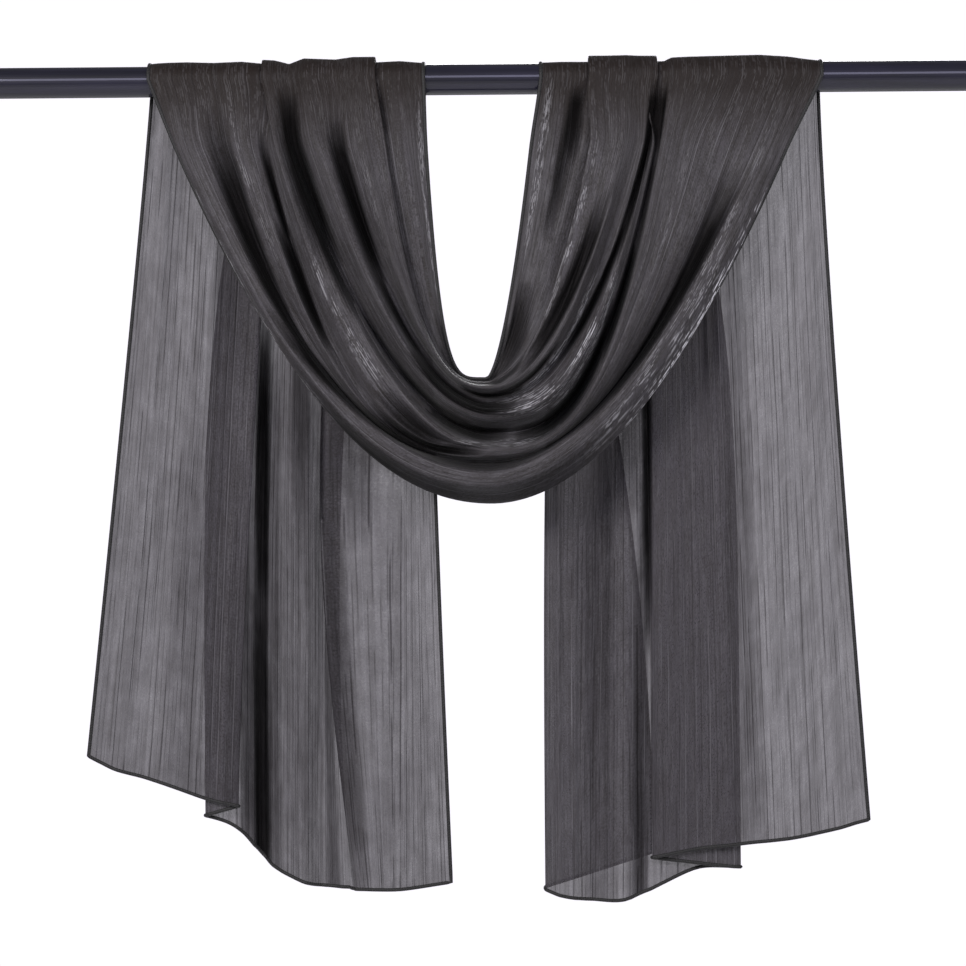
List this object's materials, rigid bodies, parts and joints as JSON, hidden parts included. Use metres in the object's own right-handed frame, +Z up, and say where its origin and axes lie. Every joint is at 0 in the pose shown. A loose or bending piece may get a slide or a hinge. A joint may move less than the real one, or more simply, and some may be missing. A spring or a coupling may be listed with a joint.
{
  "type": "organza scarf on a rail",
  "caption": "Long sheer crinkled organza scarf in charcoal grey with silver threads, draped over a round rail: a swag hangs in front and the tails behind.",
  "frame": {"origin": "the rail's axis, at the middle of the rail's length", "axes": "+X along the rail to the viewer's right, +Y away from the viewer (the swag hangs in front, at -Y, and the tails behind, at +Y), +Z up"},
  "size_m": [1, 0.1025, 0.6987],
  "materials": {
    "organza": "sheer",
    "rail_paint": "gloss"
  },
  "bodies": {
    "root": {"swag": "organza", "left_tail": "organza", "right_tail": "organza", "rail": "rail_paint"}
  },
  "joints": []
}
